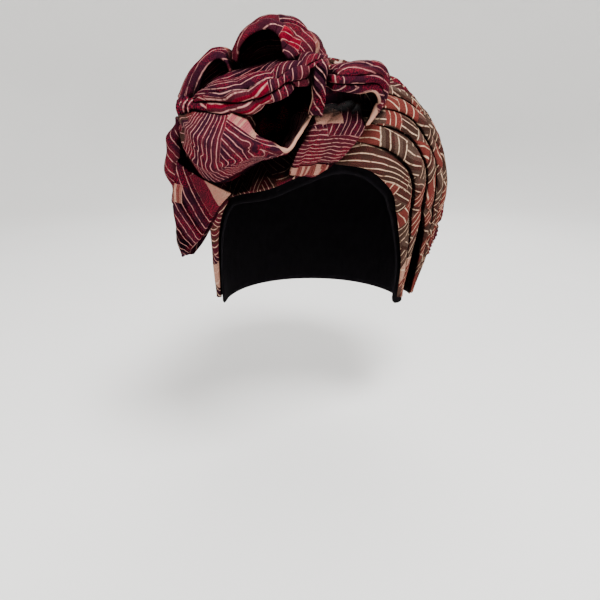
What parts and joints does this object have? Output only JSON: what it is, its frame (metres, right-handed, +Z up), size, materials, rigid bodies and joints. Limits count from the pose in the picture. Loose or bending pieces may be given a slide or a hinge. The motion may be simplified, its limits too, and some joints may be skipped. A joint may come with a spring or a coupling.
{
  "type": "tied gele head tie",
  "caption": "Tied head wrap of patterned cloth with a dark inner cap, fanned side pleats, a full gathered crown and a folded rosette at the brow.",
  "frame": {"origin": "centre of the head hollow at its widest section", "axes": "+Z up, the face opening towards -Y, the wearer's left side towards +X"},
  "size_m": [0.2165, 0.2887, 0.2158],
  "materials": {
    "patterned_cloth": "jacquard cloth, wine red with pale pink and cream lines in crossing bands, soft sheen",
    "lining": "matt black stretch lining"
  },
  "bodies": {
    "root": {"lining_cap": "lining", "crown_bag": "patterned_cloth", "left_pleat_1": "patterned_cloth", "left_pleat_2": "patterned_cloth", "left_pleat_3": "patterned_cloth", "left_pleat_4": "patterned_cloth", "left_pleat_5": "patterned_cloth", "right_pleat_1": "patterned_cloth", "right_pleat_2": "patterned_cloth", "right_pleat_3": "patterned_cloth", "right_pleat_4": "patterned_cloth", "bowl_petal": "patterned_cloth", "cross_petal": "patterned_cloth", "hood_petal": "patterned_cloth", "side_loop": "patterned_cloth", "side_bow": "patterned_cloth", "brow_tail": "patterned_cloth", "front_tail": "patterned_cloth", "back_flap": "patterned_cloth", "centre_fold": "patterned_cloth", "pinch_fold": "patterned_cloth"}
  },
  "joints": []
}
